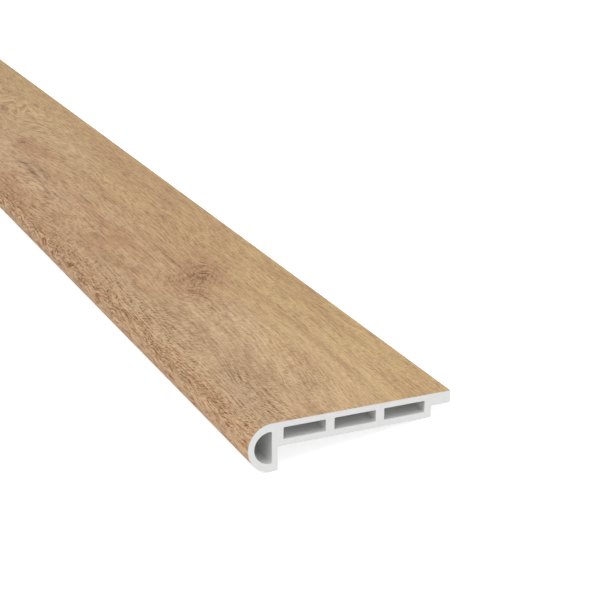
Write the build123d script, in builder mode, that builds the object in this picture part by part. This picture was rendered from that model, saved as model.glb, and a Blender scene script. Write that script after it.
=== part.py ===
from build123d import *
import os
from math import atan2, cos, sin

# Flush stair nosing: a hollow extruded PVC bar with a printed wood-grain film wrapped over its top
# and round its nose. Sizes are in millimetres. The section is drawn level, as the bar sits on a
# stair: x runs back from the front of the nose, y runs up from the underside of the leg.

# Overall size
length = 1200
width = 110
height = 25.4

# Body that lies on the tread, and the thin lip behind it that the floor butts against
body_thickness = 12.7
lip_length = 10.8
lip_thickness = 6.5

# Round-fronted chamber in the nose, and the leg wall that closes it and hangs in front of the tread
nose_front_wall = 3.3
nose_wall = 4.3
nose_chamber_flat = 0.8
leg_wall = 3

# Row of flat chambers in the body
chamber_count = 3
chamber_web = 4.6
front_web = 6
rear_wall = 3.8
roof_wall = 3.15
floor_wall = 3.35

# Printed film, and the small radii that the die leaves along the edges
film_thickness = 0.3
edge_radius = 0.4
chamber_corner_radius = 0.4

# Heights in the section
nose_radius = height / 2
core_radius = nose_radius - film_thickness
core_top = height - film_thickness
seat_height = height - body_thickness
lip_underside = height - lip_thickness

# Depths in the section
nose_chamber_radius = nose_radius - nose_wall
nose_chamber_centre = nose_front_wall + nose_chamber_radius
nose_chamber_back = nose_chamber_centre + nose_chamber_flat
leg_depth = nose_chamber_back + leg_wall
body_end = width - lip_length

# Flat chambers share the length between the front web and the rear wall
row_start = nose_chamber_back + front_web
row_end = body_end - rear_wall
chamber_width = (row_end - row_start - (chamber_count - 1) * chamber_web) / chamber_count
chamber_height = body_thickness - roof_wall - floor_wall
chamber_middle = seat_height + floor_wall + chamber_height / 2

# On a level floor the bar rests on two rounded edges, the heel of the leg and the rear of the body,
# so the section leans back by the slope between them. The floor is z = 0, and the bar stands over
# the middle of its own width.
rest_tilt = atan2(seat_height, body_end - leg_depth)
section_back = Vector(cos(rest_tilt), 0, -sin(rest_tilt))
section_up = Vector(sin(rest_tilt), 0, cos(rest_tilt))
heel = section_back * (leg_depth - edge_radius) + section_up * edge_radius
nose_centre = (section_back + section_up) * nose_radius
rear_corner = section_back * width + section_up * height
section_origin = (-(nose_centre.X - nose_radius + rear_corner.X) / 2, 0, edge_radius - heel.Z)
section_plane = Plane(origin=section_origin, x_dir=section_back, z_dir=(0, -1, 0))

# Hollow bar
with BuildPart() as pvc_profile:
    with BuildSketch(section_plane):
        with BuildLine():
            FilletPolyline(
                (nose_radius, 0),
                (leg_depth, 0),
                (leg_depth, seat_height),
                (body_end, seat_height),
                (body_end, lip_underside),
                (width, lip_underside),
                (width, core_top),
                radius=edge_radius,
            )
            Line((width, core_top), (nose_radius, core_top))
            CenterArc((nose_radius, nose_radius), core_radius, 90, 180)
            Line((nose_radius, film_thickness), (nose_radius, 0))
        make_face()
        with BuildLine():
            CenterArc((nose_chamber_centre, nose_radius), nose_chamber_radius, 90, 180)
            FilletPolyline(
                (nose_chamber_centre, nose_radius - nose_chamber_radius),
                (nose_chamber_back, nose_radius - nose_chamber_radius),
                (nose_chamber_back, nose_radius + nose_chamber_radius),
                (nose_chamber_centre, nose_radius + nose_chamber_radius),
                radius=chamber_corner_radius,
            )
        make_face(mode=Mode.SUBTRACT)
        with Locations(((row_start + row_end) / 2, chamber_middle)):
            with GridLocations(chamber_width + chamber_web, 0, chamber_count, 1):
                RectangleRounded(
                    chamber_width, chamber_height, chamber_corner_radius, mode=Mode.SUBTRACT
                )
    extrude(amount=length / 2, both=True)
pvc_profile.part.label = "pvc_profile"

# Film from the rear edge over the top and round the nose to its lowest point
with BuildPart() as wood_grain_film:
    with BuildSketch(section_plane):
        with BuildLine():
            Polyline(
                (nose_radius, height), (width, height), (width, core_top), (nose_radius, core_top)
            )
            CenterArc((nose_radius, nose_radius), nose_radius, 90, 180)
            CenterArc((nose_radius, nose_radius), core_radius, 90, 180)
            Line((nose_radius, 0), (nose_radius, film_thickness))
        make_face()
    extrude(amount=length / 2, both=True)
wood_grain_film.part.label = "wood_grain_film"

os.makedirs("parts", exist_ok=True)
export_step(pvc_profile.part, "parts/pvc_profile.step")
export_step(wood_grain_film.part, "parts/wood_grain_film.step")
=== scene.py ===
import bmesh
import bpy
from math import atan2, cos, hypot, pi, radians, sin
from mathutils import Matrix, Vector


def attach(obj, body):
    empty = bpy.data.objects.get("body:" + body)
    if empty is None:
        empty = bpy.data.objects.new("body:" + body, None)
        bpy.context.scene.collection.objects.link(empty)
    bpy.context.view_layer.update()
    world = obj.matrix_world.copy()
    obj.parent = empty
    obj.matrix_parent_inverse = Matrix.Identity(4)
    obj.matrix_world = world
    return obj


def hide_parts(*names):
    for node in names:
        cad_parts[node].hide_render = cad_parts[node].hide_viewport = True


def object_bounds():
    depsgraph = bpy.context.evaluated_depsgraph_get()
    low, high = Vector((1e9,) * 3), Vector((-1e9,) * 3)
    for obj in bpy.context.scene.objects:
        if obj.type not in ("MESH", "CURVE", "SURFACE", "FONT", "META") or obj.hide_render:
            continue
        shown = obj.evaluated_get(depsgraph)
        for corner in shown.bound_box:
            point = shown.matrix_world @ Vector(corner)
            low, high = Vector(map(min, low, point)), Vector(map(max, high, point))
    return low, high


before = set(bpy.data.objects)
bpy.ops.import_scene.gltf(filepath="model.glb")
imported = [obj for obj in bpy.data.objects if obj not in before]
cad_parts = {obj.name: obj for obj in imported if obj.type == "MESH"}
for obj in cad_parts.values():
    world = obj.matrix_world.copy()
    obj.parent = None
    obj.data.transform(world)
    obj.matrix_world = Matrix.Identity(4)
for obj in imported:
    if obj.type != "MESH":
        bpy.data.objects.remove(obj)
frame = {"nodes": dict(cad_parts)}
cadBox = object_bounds()
print("frame loaded:", ", ".join(frame["nodes"]))

mmPerMetre = 1000
closeBy = 0.01        # millimetres: places nearer than this count as one
smoothAngle = 30      # degrees: edges sharper than this stay crisp
endFacing = 0.9       # a face whose normal runs this much along the bar is a cut end

# Section of the nosing, level as on a stair, in millimetres: x back from the nose, z up from the leg's foot
section = {
    "length": 1200,
    "width": 110,
    "height": 25.4,
    "seatHeight": 12.7,       # underside of the body, which lies on the tread
    "legBack": 15.5,          # back of the leg, which hangs in front of the tread
    "bodyEnd": 99.2,
    "lipUnderside": 18.9,     # the rear lip is the upper half of the body
    "edgeRadius": 0.4,
    "filmThickness": 0.3,
}
noseRadius = section["height"] / 2
nearEnd = -section["length"] / 2
coreTop = section["height"] - section["filmThickness"]
filmSpan = section["width"] - noseRadius + pi * noseRadius   # rear edge to the nose's lowest point

# Unheld, the bar leans back onto the heel of its leg and the rear edge of its body
restTilt = atan2(section["seatHeight"], section["bodyEnd"] - section["legBack"])
heelIn = section["legBack"] - section["edgeRadius"]
restPlace = (
    cadBox[1].x - (section["width"] * cos(restTilt) + section["height"] * sin(restTilt)) / mmPerMetre,
    0,
    (section["edgeRadius"] * (1 - cos(restTilt)) + heelIn * sin(restTilt)) / mmPerMetre,
)


def pick(piece, kind, test):
    # edit mode: selects the vertices that pass the test, or the edges whose middle does
    bpy.ops.mesh.select_mode(type=kind)
    bpy.ops.mesh.select_all(action="DESELECT")
    mesh = bmesh.from_edit_mesh(piece.data)
    if kind == "VERT":
        for vert in mesh.verts:
            vert.select = test(vert.co)
    else:
        for edge in mesh.edges:
            edge.select = test((edge.verts[0].co + edge.verts[1].co) / 2)
    mesh.select_flush_mode()
    bmesh.update_edit_mesh(piece.data)


def startPiece(name, x, z):
    # one loose vertex at the near end, ready to be drawn out into an outline
    bpy.ops.object.select_all(action="DESELECT")
    bpy.ops.mesh.primitive_plane_add(size=1, location=(x, nearEnd, z))
    piece = bpy.context.object
    piece.name = name
    bpy.ops.object.transform_apply(location=True, rotation=True, scale=True)
    bpy.ops.object.mode_set(mode="EDIT")
    bpy.ops.mesh.select_mode(type="VERT")
    bpy.ops.mesh.merge(type="CENTER")
    return piece


def drawOut(*corners):
    # extrudes the selected vertex from the first corner to each of the others
    for before, after in zip(corners, corners[1:]):
        step = (after[0] - before[0], 0, after[1] - before[1])
        bpy.ops.mesh.extrude_region_move(TRANSFORM_OT_translate={"value": step})


def layAtRest(piece):
    # millimetres to metres, then leaned back and set down where the frame has it
    piece.scale = [1 / mmPerMetre] * 3
    piece.rotation_euler = (0, restTilt, 0)
    piece.location = restPlace
    bpy.ops.object.transform_apply(location=True, rotation=True, scale=True)
    bpy.ops.object.shade_smooth_by_angle(angle=radians(smoothAngle))


# Hollow bar
barWalls = {
    "noseFront": 3.3,
    "noseWall": 4.3,
    "noseChamberBack": 12.5,
    "rowStart": 18.5,         # flat chambers, front of the first to back of the last
    "rowEnd": 95.4,
    "chamberCount": 3,
    "web": 4.6,
    "chamberFloor": 16.05,
    "chamberRoof": 22.25,
    "cornerRadius": 0.4,
    "footReach": 0.5,         # the corners at the film's lower end stay sharp
    "noseSteps": 64,
    "cornerSteps": 4,
}


def makeBar():
    foot = (noseRadius, 0)
    back = section["legBack"]
    rear = section["width"]
    bar = startPiece("hollowBar", *foot)
    drawOut(
        foot,
        (back, 0),
        (back, section["seatHeight"]),
        (section["bodyEnd"], section["seatHeight"]),
        (section["bodyEnd"], section["lipUnderside"]),
        (rear, section["lipUnderside"]),
        (rear, coreTop),
        (noseRadius, coreTop),
    )
    middle = (noseRadius, nearEnd, noseRadius)
    bpy.ops.mesh.spin(steps=barWalls["noseSteps"], angle=pi, center=middle, axis=(0, 1, 0))
    drawOut((noseRadius, section["filmThickness"]), foot)

    # nose chamber: straight over its back wall, round at the front
    chamberRadius = noseRadius - barWalls["noseWall"]
    chamberMiddle = barWalls["noseFront"] + chamberRadius
    low = noseRadius - chamberRadius
    high = noseRadius + chamberRadius
    bpy.ops.mesh.select_all(action="DESELECT")
    bpy.ops.mesh.primitive_plane_add(size=1, location=(chamberMiddle, nearEnd, low))
    bpy.ops.mesh.merge(type="CENTER")
    drawOut(
        (chamberMiddle, low),
        (barWalls["noseChamberBack"], low),
        (barWalls["noseChamberBack"], high),
        (chamberMiddle, high),
    )
    middle = (chamberMiddle, nearEnd, noseRadius)
    bpy.ops.mesh.spin(steps=barWalls["noseSteps"], angle=pi, center=middle, axis=(0, 1, 0))

    # flat chambers share the row between their webs
    count = barWalls["chamberCount"]
    row = barWalls["rowEnd"] - barWalls["rowStart"]
    chamberWidth = (row - (count - 1) * barWalls["web"]) / count
    for number in range(count):
        front = barWalls["rowStart"] + number * (chamberWidth + barWalls["web"])
        bpy.ops.mesh.select_all(action="DESELECT")
        bpy.ops.mesh.primitive_plane_add(size=1, location=(front, nearEnd, barWalls["chamberFloor"]))
        bpy.ops.mesh.merge(type="CENTER")
        drawOut(
            (front, barWalls["chamberFloor"]),
            (front + chamberWidth, barWalls["chamberFloor"]),
            (front + chamberWidth, barWalls["chamberRoof"]),
            (front, barWalls["chamberRoof"]),
            (front, barWalls["chamberFloor"]),
        )
    bpy.ops.mesh.select_all(action="SELECT")
    bpy.ops.mesh.remove_doubles(threshold=closeBy)

    # the die rounds every corner but the ones under the film
    def isDieCorner(spot):
        atFoot = hypot(spot.x - foot[0], spot.z) < barWalls["footReach"]
        underFilm = spot.z > coreTop - closeBy or atFoot
        onNose = spot.x < chamberMiddle + closeBy
        return not underFilm and not onNose

    pick(bar, "VERT", isDieCorner)
    radius = barWalls["cornerRadius"]
    bpy.ops.mesh.bevel(offset=radius, segments=barWalls["cornerSteps"], affect="VERTICES")

    # drawn through its length, then both saw-cut ends are filled
    bpy.ops.mesh.select_all(action="SELECT")
    bpy.ops.mesh.extrude_region_move(TRANSFORM_OT_translate={"value": (0, section["length"], 0)})
    for end in (nearEnd, -nearEnd):
        pick(bar, "EDGE", lambda spot: abs(spot.y - end) < closeBy)
        bpy.ops.mesh.fill(use_beauty=True)
    bpy.ops.mesh.select_all(action="SELECT")
    bpy.ops.mesh.normals_make_consistent(inside=False)
    bpy.ops.object.mode_set(mode="OBJECT")
    return bar


# Printed film
filmSheet = {
    "noseSteps": 64,
    "printedDepth": 0.25,     # share of the thickness: faces above this are the printed side
    "gluedDepth": 0.75,       # and faces below this the glued side
    # places in the square map for baking
    "nearEndStart": 0.02,
    "farEndStart": 0.52,
    "endSpan": 0.46,
    "gluedRim": 0.035,
    "printedRim": 0.045,
    "printStart": 0.07,
    "printSpan": 0.93,
    "gluedSpan": 0.025,
    "rearEdgeStart": 0.05,
    "noseEdgeStart": 0.06,
    "edgeWidth": 0.005,
}


def makeFilm():
    rear = (section["width"], section["height"])
    top = (noseRadius, section["height"])
    film = startPiece("woodGrainWrap", *rear)
    drawOut(rear, top)
    middle = (noseRadius, nearEnd, noseRadius)
    bpy.ops.mesh.spin(steps=filmSheet["noseSteps"], angle=pi, center=middle, axis=(0, 1, 0))
    bpy.ops.mesh.select_all(action="SELECT")
    bpy.ops.mesh.remove_doubles(threshold=closeBy)
    bpy.ops.mesh.extrude_region_move(TRANSFORM_OT_translate={"value": (0, section["length"], 0)})
    bpy.ops.mesh.select_all(action="SELECT")
    bpy.ops.mesh.normals_make_consistent(inside=False)
    bpy.ops.object.mode_set(mode="OBJECT")
    flatTop = max(film.data.polygons, key=lambda face: face.area)
    if flatTop.normal.z < 0:   # an open sheet may come out either way: the print faces up
        film.data.flip_normals()
    wall = film.modifiers.new("thickness", "SOLIDIFY")
    wall.thickness = section["filmThickness"]
    wall.offset = -1
    wall.use_even_offset = True
    bpy.ops.object.modifier_apply(modifier=wall.name)
    return film


def isOuter(spot):
    # on the printed side of the film, not the glued side
    if spot.x > noseRadius - closeBy:
        away = abs(spot.z - noseRadius)
    else:
        away = hypot(spot.x - noseRadius, spot.z - noseRadius)
    return away > noseRadius - section["filmThickness"] / 2


def unrollFilm(film):
    # two maps by place: "unrolled" in metres along and across the print, for the pattern, and
    # "OFBake", the same sheet stretched over a square with the back and the cut edges in strips below
    flat = film.data.uv_layers.new(name="unrolled")
    bake = film.data.uv_layers.new(name="OFBake")
    for face in film.data.polygons:
        middle = face.center
        out = middle.z - noseRadius
        if middle.x < noseRadius:
            out = hypot(middle.x - noseRadius, out)
        depth = (noseRadius - out) / section["filmThickness"]
        for corner in face.loop_indices:
            spot = film.data.vertices[film.data.loops[corner].vertex_index].co
            along = spot.y - nearEnd
            across = section["width"] - spot.x
            if spot.x < noseRadius:
                roundNose = atan2(noseRadius - spot.x, spot.z - noseRadius)
                across = section["width"] - noseRadius + noseRadius * roundNose
            flat.data[corner].uv = (along / mmPerMetre, across / mmPerMetre)
            alongShare = along / section["length"]
            acrossShare = across / filmSpan
            if abs(face.normal.y) > endFacing:
                start = filmSheet["nearEndStart"] if face.normal.y < 0 else filmSheet["farEndStart"]
                rim = filmSheet["printedRim"] if isOuter(spot) else filmSheet["gluedRim"]
                bake.data[corner].uv = (start + acrossShare * filmSheet["endSpan"], rim)
            elif depth < filmSheet["printedDepth"]:
                up = filmSheet["printStart"] + acrossShare * filmSheet["printSpan"]
                bake.data[corner].uv = (alongShare, up)
            elif depth > filmSheet["gluedDepth"]:
                bake.data[corner].uv = (alongShare, acrossShare * filmSheet["gluedSpan"])
            else:                                                # long edges, at the rear and under the nose
                atRear = middle.x > section["width"] - section["edgeRadius"]
                start = filmSheet["rearEdgeStart"] if atRear else filmSheet["noseEdgeStart"]
                rim = filmSheet["edgeWidth"] if isOuter(spot) else 0
                bake.data[corner].uv = (alongShare, start + rim)
    flat.active = True
    flat.active_render = True


film = makeFilm()
unrollFilm(film)
layAtRest(film)
bar = makeBar()
layAtRest(bar)
for piece in (film, bar):
    print("piece modelled:", piece.name, len(piece.data.polygons), "faces")


def hexColour(code):
    # sRGB hex to the linear values that the nodes take
    parts = [int(code[at:at + 2], 16) / 255 for at in (1, 3, 5)]
    return [part / 12.92 if part <= 0.04045 else ((part + 0.055) / 1.055) ** 2.4 for part in parts] + [1]


def outputOf(node):
    # a Mix node has an output for each kind of data, and one is in use
    return next(out for out in node.outputs if out.enabled)


def addNode(tree, kind, settings, inputs):
    # one node with its settings; an input takes a number, a colour or the node that feeds it
    node = tree.nodes.new("ShaderNode" + kind)
    for name, value in settings.items():
        setattr(node, name, value)
    for key, value in inputs.items():
        named = [socket for socket in node.inputs if socket.enabled and socket.name == key]
        socket = named[0] if named else node.inputs[key]
        if isinstance(value, bpy.types.Node):
            value = outputOf(value)
        if isinstance(value, bpy.types.NodeSocket):
            tree.links.new(value, socket)
        else:
            socket.default_value = value
    return node


def newMaterial(name, piece):
    material = bpy.data.materials.new(name)
    material.use_nodes = True
    piece.data.materials.clear()
    piece.data.materials.append(material)
    return material.node_tree, material.node_tree.nodes["Principled BSDF"]


# Oak print: millimetres from the near end, then from the rear edge over the top and round the nose.
# A mark is (along, across, half length, half width, turn in degrees, strength).
oakPrint = {
    "honey": "#D3B483",
    "rose": "#BF9772",
    "sand": "#D9B994",
    "taupe": "#C3A583",
    "umber": "#65401F",
    "amber": "#E6BC92",
    "chestnut": "#95562B",
    "core": "#D8D6D2",                # the film itself, seen where it is cut
    "depth": 0.21,                    # share of umber where the grain is neither light nor dark
    "layers": {                       # length, width, detail, roughness, stretched from, to, seed
        "drift": (330, 48, 2, 0.5, 0, 1, 3.7),
        "curl": (17, 9, 1, 0.5, 0, 1, 8.8),
        "bands": (150, 8, 3, 0.5, 0.3, 0.7, 1.3),
        "clouds": (44, 10, 4, 0.6, 0.3, 0.7, 4.2),
        "wobble": (60, 11, 2, 0.5, 0, 1, 9.4),
        "lines": (24, 0.6, 1, 0.5, 0.3, 0.7, 7.9),
        "wideLines": (15, 1.1, 2, 0.6, 0.3, 0.7, 5.1),
        "streaks": (20, 2.4, 3, 0.6, 0.3, 0.7, 13.7),
        "pores": (4.2, 0.65, 2, 0.7, 0.3, 0.7, 2.3),
        "speckle": (1.8, 1.1, 2, 0.6, 0.3, 0.7, 11.5),
        "strokes": (9, 1.2, 2, 0.6, 0.3, 0.7, 10.2),
        "taupeFlecks": (11, 2.4, 4, 0.65, 0.46, 0.66, 15.4),
        "amberFlecks": (11, 2.4, 4, 0.65, 0.46, 0.64, 12.6),
        "chestnutFlecks": (11, 2.4, 4, 0.65, 0.5, 0.7, 6.2),
        "embossing": (4.2, 0.65, 2, 0.7, 0.3, 0.7, 17.6),
    },
    "weights": {                      # how far a layer darkens and lightens the print
        "lines": 0.32,
        "speckle": 0.2,
        "pores": 0.48,
        "wideLines": 0.3,
        "streaks": 0.09,
        "bands": 0.14,
        "clouds": 0.05,
        "strokes": 0.6,
    },
    "driftReach": 18,                 # slow wander of the grain
    "curlReach": 7,                   # curly grain
    "wobbleReach": 5,                 # unevenness of the growth lines
    "poreTurn": 18,                   # pores lie at a slant to the grain lines
    "strokeTurn": -32,                # short dark strokes over the knots
    # from and to, in millimetres, and the values eased between them
    "palerAcross": (25, 80, 0, 0.8),          # sand in the honey
    "noseAcross": (103, 114, 0, 1),           # the nose shows livelier wood
    "deeperAcross": (75, 110, 0.95, 1.35),    # gain of the fine grain
    "bolderAlong": (40, 320, 0.7, 1.6),       # gain of the wide lines
    "gainSum": 2,                             # bands fade as the wide lines get bolder
    "hatchGain": 0.6,                 # more gain at the hatch marks, for the pores once more, and on the nose
    "hatchPores": 0.3,
    "noseGain": 0.5,
    "noseCurl": 0.9,
    "noseRings": 1.6,
    "ringDepth": 0.12,
    "roseBase": -0.06,
    "roseBands": 0.22,
    "roseClouds": 0.42,
    "rimScale": 0.12,                 # uneven rims of the marks, and how far they reach along and across
    "rimDetail": 1,
    "softRim": (6, 3),
    "darkRim": (2.5, 0.8),
    "strokeRim": (2, 2),
    "embossStrength": 0.2,
    "embossDepth": 0.1,               # millimetres
    "sheen": (0.6, 0.75),             # roughness
    "ior": 1.53,
    "specular": 0.25,
    "grainClimbs": [                  # from, to along; across, half width; rise towards the rear edge
        (-25, 120, 54, 66, 14),
        (215, 330, 16, 40, 10),
        (430, 640, 58, 64, -18),
        (700, 860, 70, 60, 16),
        (980, 1150, 60, 64, -14),
    ],
    "knots": [                        # along, across, half length, half width, turn
        (204, 52, 30, 7, -30),
        (542, 64, 8, 3, -10),
        (653, 48, 8, 3, -15),
        (905, 66, 26, 9, 24),
        (1105, 30, 10, 4, 0),
    ],
    "curlMarks": [                    # where the grain is curly
        (206, 54, 64, 34, -24, 0.3),
        (170, 52, 40, 26, -20, 0.3),
        (545, 63, 30, 14, 0, 0.4),
        (653, 48, 30, 14, 0, 0.15),
        (905, 66, 64, 34, 20, 0.9),
    ],
    "hatchMarks": [                   # where the grain lines stand out
        (10, 95, 100, 17, -5, 1.0),
        (20, 84, 60, 14, -12, 0.2),
        (95, 72, 110, 20, -4, -0.3),
        (150, 107, 300, 7, 0, 0.9),
        (170, 99, 130, 8, 0, 0.9),
        (330, 99, 170, 9, 0, 0.5),
        (70, 114, 190, 14, 0, 0.5),
        (620, 96, 200, 14, 0, 0.8),
        (1000, 94, 240, 16, 0, 0.8),
    ],
    "strokeMarks": [                  # where the strokes are
        (206, 53, 46, 26, -28, 1.0),
        (184, 64, 26, 14, -28, 0.5),
        (542, 64, 24, 12, 0, 0.8),
        (653, 48, 26, 12, 0, 0.8),
        (905, 66, 50, 26, 20, 1.0),
    ],
    "ringSpacing": 1.9,               # wider growth lines beside the knots
    "ringMarks": [
        (165, 50, 46, 26, -20, 1.0),
        (228, 72, 42, 13, 0, 0.8),
        (206, 54, 50, 26, -24, 0.4),
        (120, 62, 70, 14, -14, 0.5),
        (280, 38, 60, 14, 0, 0.5),
        (130, 101, 260, 9, 0, 0.8),
        (400, 50, 90, 24, 0, 0.4),
        (560, 60, 90, 24, 0, 0.5),
        (905, 66, 90, 34, 20, 1.0),
    ],
    "roseMarks": [
        (205, 53, 52, 26, -28, 0.55),
        (240, 52, 140, 50, 0, 0.2),
        (560, 50, 520, 130, 0, 0.12),
        (350, 64, 230, 60, 0, 0.3),
        (258, 20, 60, 14, -24, 0.25),
        (350, 18, 40, 12, -18, 0.25),
        (306, 76, 60, 18, 0, 0.3),
        (240, 92, 190, 28, 0, 0.4),
        (450, 106, 280, 20, 0, 0.5),
        (440, 12, 260, 26, 0, 0.25),
        (528, 61, 50, 20, 0, 0.6),
        (905, 66, 80, 32, 18, 0.75),
    ],
    "sandMarks": [
        (133, 58, 44, 24, -20, 0.5),
        (40, 45, 100, 40, -8, 0.3),
        (100, 70, 60, 16, -18, 0.3),
        (560, 35, 160, 26, 0, 0.4),
        (720, 70, 120, 26, 0, 0.5),
        (1030, 55, 140, 30, 0, 0.4),
    ],
    "taupeMarks": [
        (45, 92, 90, 20, -14, 0.7),
        (160, 99, 300, 13, 0, 0.6),
        (140, 84, 80, 12, -4, 0.4),
        (386, 82, 44, 11, 0, 0.6),
        (462, 77, 60, 9, 0, 0.7),
        (800, 95, 120, 16, 6, 0.5),
    ],
    "darkMarksAndPaintedLight": [
        (600, 109, 3000, 6, 0, 0.08),
        (90, 89, 170, 18, 0, 0.1),
        (20, 70, 80, 14, 0, 0.03),
        # painted light: these three lighten the front of the nose, which the lamps leave darker than the top
        (40, 119, 110, 7, 0, -0.2),
        (20, 112, 80, 12, 0, -0.14),
        (600, 119, 3000, 7, 0, -0.28),
        (205, 53, 42, 22, -28, 0.15),
        (205, 51, 14, 7, -20, 0.10),
        (236, 57.2, 26, 1.5, 0, 0.46),
        (258, 56.6, 34, 1.2, -1, 0.34),
        (189, 64, 15, 3, -32, 0.16),
        (220, 47, 12, 3, -48, 0.16),
        (300, 40, 26, 1.3, -4, 0.14),
        (464, 73, 34, 3, 1, 0.34),
        (466, 79.5, 56, 3, -1, 0.36),
        (422, 83, 48, 2.5, -6, 0.22),
        (542, 64, 9, 5, -5, 0.42),
        (653, 48, 16, 5, -10, 0.3),
        (905, 66, 34, 16, 24, 0.16),
        (960, 60, 40, 1.2, 6, 0.36),
        (1105, 30, 6, 2.6, 0, 0.30),
    ],
}


# PVC film, gravure-printed with oak and embossed: matt, with the print's colours and shallow pores, and
# painted light that makes the front of the nose lighter
def oakFilm(piece):
    tree, shader = newMaterial("oakPrintedEmbossedPvcFilm", piece)
    unrolled = addNode(tree, "UVMap", {"uv_map": "unrolled"}, {})
    plan = addNode(tree, "Mapping", {}, {"Vector": unrolled, "Scale": [mmPerMetre] * 3})
    planParts = addNode(tree, "SeparateXYZ", {}, {0: plan})
    planAlong, planAcross = planParts.outputs["X"], planParts.outputs["Y"]

    made = {}   # layers by name

    def grainLayer(name, vector):
        # noise as long and wide as a real mark of the grain, stretched to the range 0 to 1
        length, width, detail, rough, low, high, seed = oakPrint["layers"][name]
        sized = addNode(tree, "Mapping", {},
                        {"Vector": vector, "Location": (seed, seed, 0), "Scale": (1 / length, 1 / width, 1)})
        noise = addNode(tree, "TexNoise", {"noise_dimensions": "2D"},
                        {"Vector": sized, "Scale": 1, "Detail": detail, "Roughness": rough})
        made[name] = addNode(tree, "MapRange", {"clamp": low > 0},
                             {"Value": noise, "From Min": low, "From Max": high})
        return made[name]

    def ragged(reachAlong, reachAcross):
        # the print looked up a little beside its place, so that marks get uneven rims
        noise = addNode(tree, "TexNoise", {"noise_dimensions": "2D"},
                        {"Vector": plan, "Scale": oakPrint["rimScale"], "Detail": oakPrint["rimDetail"]})
        step = addNode(tree, "VectorMath", {"operation": "MULTIPLY_ADD"},
                       {0: noise.outputs["Color"], 1: (2 * reachAlong, 2 * reachAcross, 0),
                        2: (-reachAlong, -reachAcross, 0)})
        return addNode(tree, "VectorMath", {"operation": "ADD"}, {0: plan, 1: step})

    def sumOfMarks(marks, vector):
        # soft spots, full at their middle and gone at their rim
        total = 0.0
        for along, across, halfLength, halfWidth, turn, strength in marks:
            local = addNode(tree, "Mapping", {"vector_type": "TEXTURE"},
                            {"Vector": vector, "Location": (along, across, 0),
                             "Rotation": (0, 0, radians(turn)), "Scale": (halfLength, halfWidth, 1)})
            ball = addNode(tree, "TexGradient", {"gradient_type": "SPHERICAL"}, {"Vector": local})
            mask = addNode(tree, "MapRange", {"interpolation_type": "SMOOTHSTEP", "clamp": False},
                           {"Value": ball.outputs["Fac"]})
            total = addNode(tree, "Math", {"operation": "MULTIPLY_ADD"}, {0: mask, 1: strength, 2: total})
        return total

    def weigh(*names):
        # layers added by weight and evened out round zero
        weights = [oakPrint["weights"][name] for name in names]
        total = -0.5 * sum(weights)
        for name, weight in zip(names, weights):
            total = addNode(tree, "Math", {"operation": "MULTIPLY_ADD"}, {0: made[name], 1: weight, 2: total})
        return total

    # grain lines run along the bar, drift, climb towards the rear edge, part round the knots and curl there
    drift = grainLayer("drift", plan)
    grainAcross = addNode(tree, "Math", {"operation": "MULTIPLY_ADD"},
                          {0: drift, 1: oakPrint["driftReach"], 2: planAcross})
    for begin, end, across, halfWidth, rise in oakPrint["grainClimbs"]:
        climb = addNode(tree, "MapRange", {"interpolation_type": "SMOOTHSTEP"},
                        {"Value": planAlong, "From Min": begin, "From Max": end, "To Max": rise})
        offset = addNode(tree, "Math", {"operation": "SUBTRACT"}, {0: planAcross, 1: across})
        distance = addNode(tree, "Math", {"operation": "ABSOLUTE"}, {0: offset})
        belt = addNode(tree, "MapRange", {"interpolation_type": "SMOOTHSTEP"},
                       {"Value": distance, "From Min": halfWidth, "From Max": 0})
        grainAcross = addNode(tree, "Math", {"operation": "MULTIPLY_ADD"},
                              {0: climb, 1: belt, 2: grainAcross})
    for along, across, halfLength, halfWidth, turn in oakPrint["knots"]:
        local = addNode(tree, "Mapping", {"vector_type": "TEXTURE"},
                        {"Vector": plan, "Location": (along, across, 0),
                         "Rotation": (0, 0, radians(turn)), "Scale": (halfLength, halfWidth, 1)})
        parts = addNode(tree, "SeparateXYZ", {}, {0: local})
        away = addNode(tree, "VectorMath", {"operation": "DOT_PRODUCT"}, {0: local, 1: local})
        softened = addNode(tree, "Math", {"operation": "ADD"}, {0: away, 1: 1})
        bend = addNode(tree, "Math", {"operation": "DIVIDE"}, {0: parts.outputs["Y"], 1: softened})
        grainAcross = addNode(tree, "Math", {"operation": "MULTIPLY_ADD"},
                              {0: bend, 1: -halfWidth, 2: grainAcross})
    begin, full, least, most = oakPrint["noseAcross"]
    noseShare = addNode(tree, "MapRange", {"interpolation_type": "SMOOTHSTEP"},
                        {"Value": planAcross, "From Min": begin, "From Max": full,
                         "To Min": least, "To Max": most})
    curl = grainLayer("curl", plan)
    curlShare = addNode(tree, "Math", {"operation": "MULTIPLY_ADD"},
                        {0: noseShare, 1: oakPrint["noseCurl"], 2: sumOfMarks(oakPrint["curlMarks"], plan)})
    curled = addNode(tree, "Math", {"operation": "MULTIPLY"}, {0: curl, 1: curlShare})
    grainAcross = addNode(tree, "Math", {"operation": "MULTIPLY_ADD"},
                          {0: curled, 1: oakPrint["curlReach"], 2: grainAcross})
    grain = addNode(tree, "CombineXYZ", {}, {"X": planAlong, "Y": grainAcross})

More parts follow.
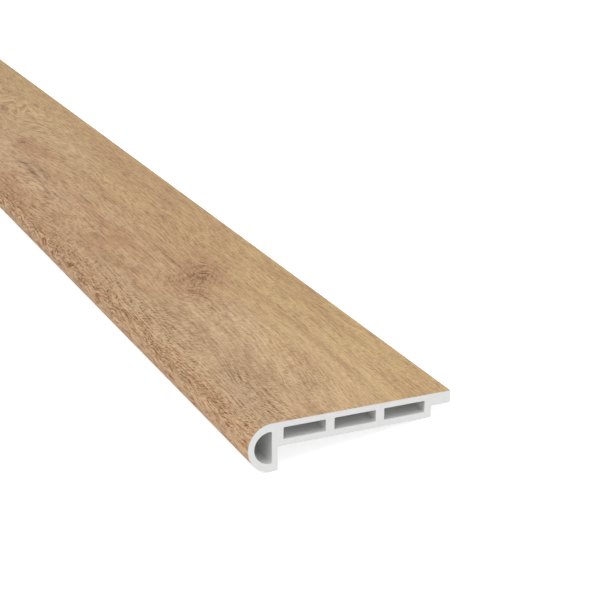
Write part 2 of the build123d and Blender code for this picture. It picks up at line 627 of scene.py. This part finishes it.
    # soft bands and clouds of honey and rose, then the patches of sand and taupe
    softRims = ragged(*oakPrint["softRim"])
    roseShare = addNode(tree, "Math", {"operation": "ADD"},
                        {0: sumOfMarks(oakPrint["roseMarks"], softRims), 1: oakPrint["roseBase"]})
    bands = grainLayer("bands", grain)
    clouds = grainLayer("clouds", grain)
    for layer, weight in ((bands, oakPrint["roseBands"]), (clouds, oakPrint["roseClouds"])):
        roseShare = addNode(tree, "Math", {"operation": "MULTIPLY_ADD"}, {0: layer, 1: weight, 2: roseShare})
    begin, full, least, most = oakPrint["palerAcross"]
    paler = addNode(tree, "MapRange", {"interpolation_type": "SMOOTHSTEP"},
                    {"Value": planAcross, "From Min": begin, "From Max": full,
                     "To Min": least, "To Max": most})
    colour = addNode(tree, "Mix", {"data_type": "RGBA"},
                     {"Factor": paler, "A": hexColour(oakPrint["honey"]), "B": hexColour(oakPrint["sand"])})
    colour = addNode(tree, "Mix", {"data_type": "RGBA"},
                     {"Factor": roseShare, "A": colour, "B": hexColour(oakPrint["rose"])})
    for name in ("sand", "taupe"):
        colour = addNode(tree, "Mix", {"data_type": "RGBA"},
                         {"Factor": sumOfMarks(oakPrint[name + "Marks"], softRims), "A": colour,
                          "B": hexColour(oakPrint[name])})

    # long thin grain lines, wider ones and short pores darken and lighten it
    wobble = grainLayer("wobble", grain)
    lineAcross = addNode(tree, "Math", {"operation": "MULTIPLY_ADD"},
                         {0: wobble, 1: oakPrint["wobbleReach"], 2: grainAcross})
    lineGrain = addNode(tree, "CombineXYZ", {}, {"X": planAlong, "Y": lineAcross})
    for name in ("lines", "wideLines", "streaks"):
        grainLayer(name, lineGrain)
    feathered = addNode(tree, "Mapping", {"vector_type": "TEXTURE"},
                        {"Vector": grain, "Rotation": (0, 0, radians(oakPrint["poreTurn"]))})
    pores = grainLayer("pores", feathered)
    grainLayer("speckle", grain)
    begin, full, least, most = oakPrint["deeperAcross"]
    deeper = addNode(tree, "MapRange", {"interpolation_type": "SMOOTHSTEP"},
                     {"Value": planAcross, "From Min": begin, "From Max": full,
                      "To Min": least, "To Max": most})
    hatch = sumOfMarks(oakPrint["hatchMarks"], softRims)
    for places, gain in ((hatch, oakPrint["hatchGain"]), (noseShare, oakPrint["noseGain"])):
        deeper = addNode(tree, "Math", {"operation": "MULTIPLY_ADD"}, {0: places, 1: gain, 2: deeper})
    deepest = addNode(tree, "Math", {"operation": "MULTIPLY_ADD"},
                      {0: hatch, 1: oakPrint["hatchPores"], 2: deeper})
    begin, full, least, most = oakPrint["bolderAlong"]
    bolder = addNode(tree, "MapRange", {"interpolation_type": "SMOOTHSTEP"},
                     {"Value": planAlong, "From Min": begin, "From Max": full,
                      "To Min": least, "To Max": most})
    fainter = addNode(tree, "Math", {"operation": "SUBTRACT"}, {0: oakPrint["gainSum"], 1: bolder})
    # dark marks of the print, and painted light that lightens the front of the nose
    dark = sumOfMarks(oakPrint["darkMarksAndPaintedLight"], ragged(*oakPrint["darkRim"]))
    for names, gain in (
        (("lines", "speckle"), deeper),
        (("pores",), deepest),
        (("wideLines", "streaks"), bolder),
        (("bands", "clouds"), fainter),
    ):
        dark = addNode(tree, "Math", {"operation": "MULTIPLY_ADD"}, {0: weigh(*names), 1: gain, 2: dark})

    # growth rings cut at a slant show as even lines beside the knots and on the nose
    ringTurn = addNode(tree, "Math", {"operation": "MULTIPLY"},
                       {0: lineAcross, 1: 2 * pi / oakPrint["ringSpacing"]})
    rings = addNode(tree, "Math", {"operation": "SINE"}, {0: ringTurn})
    ringPlaces = addNode(tree, "Math", {"operation": "MULTIPLY_ADD"},
                         {0: noseShare, 1: oakPrint["noseRings"],
                          2: sumOfMarks(oakPrint["ringMarks"], softRims)})
    ringShare = addNode(tree, "Math", {"operation": "MULTIPLY"}, {0: rings, 1: ringPlaces})
    dark = addNode(tree, "Math", {"operation": "MULTIPLY_ADD"},
                   {0: ringShare, 1: oakPrint["ringDepth"], 2: dark})
    dark = addNode(tree, "Math", {"operation": "ADD"}, {0: dark, 1: oakPrint["depth"]})

    # the knots are mottled with short strokes that cross the grain
    turned = addNode(tree, "Mapping", {"vector_type": "TEXTURE"},
                     {"Vector": ragged(*oakPrint["strokeRim"]),
                      "Rotation": (0, 0, radians(oakPrint["strokeTurn"]))})
    grainLayer("strokes", turned)
    strokeShare = addNode(tree, "Math", {"operation": "MULTIPLY"},
                          {0: weigh("strokes"), 1: sumOfMarks(oakPrint["strokeMarks"], softRims)})
    dark = addNode(tree, "Math", {"operation": "ADD"}, {0: dark, 1: strokeShare})

    # the nose shows livelier wood: short flecks of taupe, amber and chestnut
    for name in ("taupe", "amber", "chestnut"):
        flecks = grainLayer(name + "Flecks", grain)
        share = addNode(tree, "Math", {"operation": "MULTIPLY"}, {0: flecks, 1: noseShare})
        colour = addNode(tree, "Mix", {"data_type": "RGBA"},
                         {"Factor": share, "A": colour, "B": hexColour(oakPrint[name])})
    colour = addNode(tree, "Mix", {"data_type": "RGBA"},
                     {"Factor": dark, "A": colour, "B": hexColour(oakPrint["umber"])})
    surface = addNode(tree, "NewGeometry", {}, {})
    facing = addNode(tree, "SeparateXYZ", {}, {0: surface.outputs["True Normal"]})
    endward = addNode(tree, "Math", {"operation": "ABSOLUTE"}, {0: facing.outputs["Y"]})
    cutEnd = addNode(tree, "Math", {"operation": "GREATER_THAN"}, {0: endward, 1: endFacing})
    colour = addNode(tree, "Mix", {"data_type": "RGBA"},
                     {"Factor": cutEnd, "A": colour, "B": hexColour(oakPrint["core"])})
    tree.links.new(outputOf(colour), shader.inputs["Base Color"])

    # the embossing roller has short pores of its own, which don't follow the print
    slanted = addNode(tree, "Mapping", {"vector_type": "TEXTURE"},
                      {"Vector": plan, "Rotation": (0, 0, radians(oakPrint["poreTurn"]))})
    bump = addNode(tree, "Bump", {},
                   {"Strength": oakPrint["embossStrength"], "Distance": oakPrint["embossDepth"] / mmPerMetre,
                    "Height": grainLayer("embossing", slanted)})
    tree.links.new(outputOf(bump), shader.inputs["Normal"])
    least, most = oakPrint["sheen"]
    sheen = addNode(tree, "MapRange", {}, {"Value": pores, "To Min": least, "To Max": most})
    tree.links.new(outputOf(sheen), shader.inputs["Roughness"])
    shader.inputs["IOR"].default_value = oakPrint["ior"]
    shader.inputs["Specular IOR Level"].default_value = oakPrint["specular"]


whitePvc = {
    "skin": "#E1E1E0",
    "shade": "#DBDBDA",
    "dieLineWidth": 1.4,              # millimetres, and about as far apart
    "dieLineLength": 500,
    "sawTurn": (140, -190),           # middle of the saw blade, back and up from the middle of the end
    "sawPitch": 1.7,                  # real saw marks are about 0.4 apart, too fine to show
    "markDetail": 2,
    "markStrength": 0.12,
    "markDepth": 0.1,                 # millimetres
    "gloss": (0.38, 0.5),             # roughness of the skin
    "dull": (0.6, 0.75),              # and of the sawn ends
    "ior": 1.53,
}


# Rigid PVC, extruded: an even white skin with faint lines from the die, duller where the saw cut it
def extrudedPvc(piece):
    tree, shader = newMaterial("whiteExtrudedPvc", piece)
    place = addNode(tree, "TexCoord", {}, {})
    acrossScale = mmPerMetre / whitePvc["dieLineWidth"]
    alongScale = mmPerMetre / whitePvc["dieLineLength"]
    dieScale = addNode(tree, "Mapping", {},
                       {"Vector": place.outputs["Object"], "Scale": (acrossScale, alongScale, acrossScale)})
    dieLines = addNode(tree, "TexNoise", {},
                       {"Vector": dieScale, "Scale": 1, "Detail": whitePvc["markDetail"]})
    colour = addNode(tree, "Mix", {"data_type": "RGBA"},
                     {"Factor": dieLines, "A": hexColour(whitePvc["skin"]),
                      "B": hexColour(whitePvc["shade"])})
    tree.links.new(outputOf(colour), shader.inputs["Base Color"])

    # the blade swept across the ends, so its marks are arcs of one large circle
    surface = addNode(tree, "NewGeometry", {}, {})
    facing = addNode(tree, "SeparateXYZ", {}, {0: surface.outputs["True Normal"]})
    endward = addNode(tree, "Math", {"operation": "ABSOLUTE"}, {0: facing.outputs["Y"]})
    sawn = addNode(tree, "Math", {"operation": "GREATER_THAN"}, {0: endward, 1: endFacing})
    bladeX, bladeZ = whitePvc["sawTurn"]
    fromBlade = addNode(tree, "Mapping", {"vector_type": "TEXTURE"},
                        {"Vector": place.outputs["Object"],
                         "Location": (bladeX / mmPerMetre, 0, bladeZ / mmPerMetre),
                         "Scale": (1 / mmPerMetre, mmPerMetre, 1 / mmPerMetre)})
    reach = addNode(tree, "VectorMath", {"operation": "LENGTH"}, {0: fromBlade})
    sweep = addNode(tree, "Math", {"operation": "MULTIPLY"},
                    {0: reach.outputs["Value"], 1: 1 / whitePvc["sawPitch"]})
    sawMarks = addNode(tree, "TexNoise", {"noise_dimensions": "1D"},
                       {"W": sweep, "Scale": 1, "Detail": whitePvc["markDetail"]})
    relief = addNode(tree, "Mix", {}, {"Factor": sawn, "A": dieLines, "B": sawMarks})
    bump = addNode(tree, "Bump", {},
                   {"Strength": whitePvc["markStrength"], "Distance": whitePvc["markDepth"] / mmPerMetre,
                    "Height": relief})
    tree.links.new(outputOf(bump), shader.inputs["Normal"])
    least, most = whitePvc["gloss"]
    gloss = addNode(tree, "MapRange", {}, {"Value": dieLines, "To Min": least, "To Max": most})
    least, most = whitePvc["dull"]
    dull = addNode(tree, "MapRange", {}, {"Value": sawMarks, "To Min": least, "To Max": most})
    roughness = addNode(tree, "Mix", {}, {"Factor": sawn, "A": gloss, "B": dull})
    tree.links.new(outputOf(roughness), shader.inputs["Roughness"])
    shader.inputs["IOR"].default_value = whitePvc["ior"]


oakFilm(film)
extrudedPvc(bar)
print("materials made")

for piece in (film, bar):
    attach(piece, "root")
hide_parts("wood_grain_film")
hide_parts("pvc_profile")

# Camera at the photograph's viewing angle
cameraView = {
    "lens": 97.5,
    "sensor": 36,
    "clipEnd": 50,
    "place": (-0.27767, -1.23926, 0.39085),
    "turn": (65.767, 7.172, -25.309),
}
camera = bpy.data.objects.new("camera", bpy.data.cameras.new("camera"))
bpy.context.scene.collection.objects.link(camera)
camera.data.lens = cameraView["lens"]
camera.data.sensor_width = cameraView["sensor"]
camera.location = cameraView["place"]
camera.rotation_euler = [radians(angle) for angle in cameraView["turn"]]
camera.data.clip_end = cameraView["clipEnd"]
bpy.context.scene.camera = camera
bpy.context.scene.view_settings.view_transform = "Standard"

# White floor that keeps the shadow: the eye sees some light of its own over the lit surface
studio = {
    "floorSize": 12,
    "floorColour": "#D0D0D0",
    "floorRoughness": 0.9,
    "floorGlow": 0.75,
    "skyLevel": 0.48,
    "lamps": [
        # place, aim, size, watts, seen in reflections
        ((-0.7, -0.9, 1.8), (0, -0.2, 0), (1.6, 1.6), 23.5, True),
        ((0.25, -3, 0.36), (0, -0.6, 0), (1.4, 0.5), 20, True),
        ((1.6, 2.2, 0.3), (0, 0.2, 0), (1.4, 0.5), 22, False),   # low fill for the rear and the far end
    ],
}


def seenRays(tree):
    # 1 for rays that the eye follows: straight, mirrored or refracted
    path = addNode(tree, "LightPath", {}, {})
    seen = path.outputs["Is Camera Ray"]
    for ray in ("Is Glossy Ray", "Is Transmission Ray"):
        seen = addNode(tree, "Math", {"operation": "MAXIMUM"}, {0: seen, 1: path.outputs[ray]})
    return seen


bpy.ops.object.select_all(action="DESELECT")
bpy.ops.mesh.primitive_plane_add(size=studio["floorSize"], location=(0, 0, 0))
floor = bpy.context.object
floor.name = "floor"
tree, shader = newMaterial("whiteStudioFloor", floor)
shader.inputs["Base Color"].default_value = hexColour(studio["floorColour"])
shader.inputs["Roughness"].default_value = studio["floorRoughness"]
glow = addNode(tree, "Math", {"operation": "MULTIPLY"}, {0: seenRays(tree), 1: studio["floorGlow"]})
shader.inputs["Emission Color"].default_value = (1, 1, 1, 1)
tree.links.new(outputOf(glow), shader.inputs["Emission Strength"])

world = bpy.data.worlds.new("studio")
bpy.context.scene.world = world
world.use_nodes = True
tree = world.node_tree
sky = tree.nodes["Background"]
sky.inputs["Color"].default_value = (1, 1, 1, 1)
level = addNode(tree, "MapRange", {}, {"Value": seenRays(tree), "To Min": studio["skyLevel"], "To Max": 1})
tree.links.new(outputOf(level), sky.inputs["Strength"])

for number, (place, aim, size, watts, reflected) in enumerate(studio["lamps"]):
    lamp = bpy.data.objects.new(f"softbox{number}", bpy.data.lights.new(f"softbox{number}", "AREA"))
    bpy.context.scene.collection.objects.link(lamp)
    lamp.data.shape = "RECTANGLE"
    lamp.data.size, lamp.data.size_y = size
    lamp.data.energy = watts
    lamp.visible_glossy = reflected
    lamp.location = place
    toward = Vector(aim) - Vector(place)
    lamp.rotation_euler = toward.to_track_quat("-Z", "Y").to_euler()
print("studio set up")
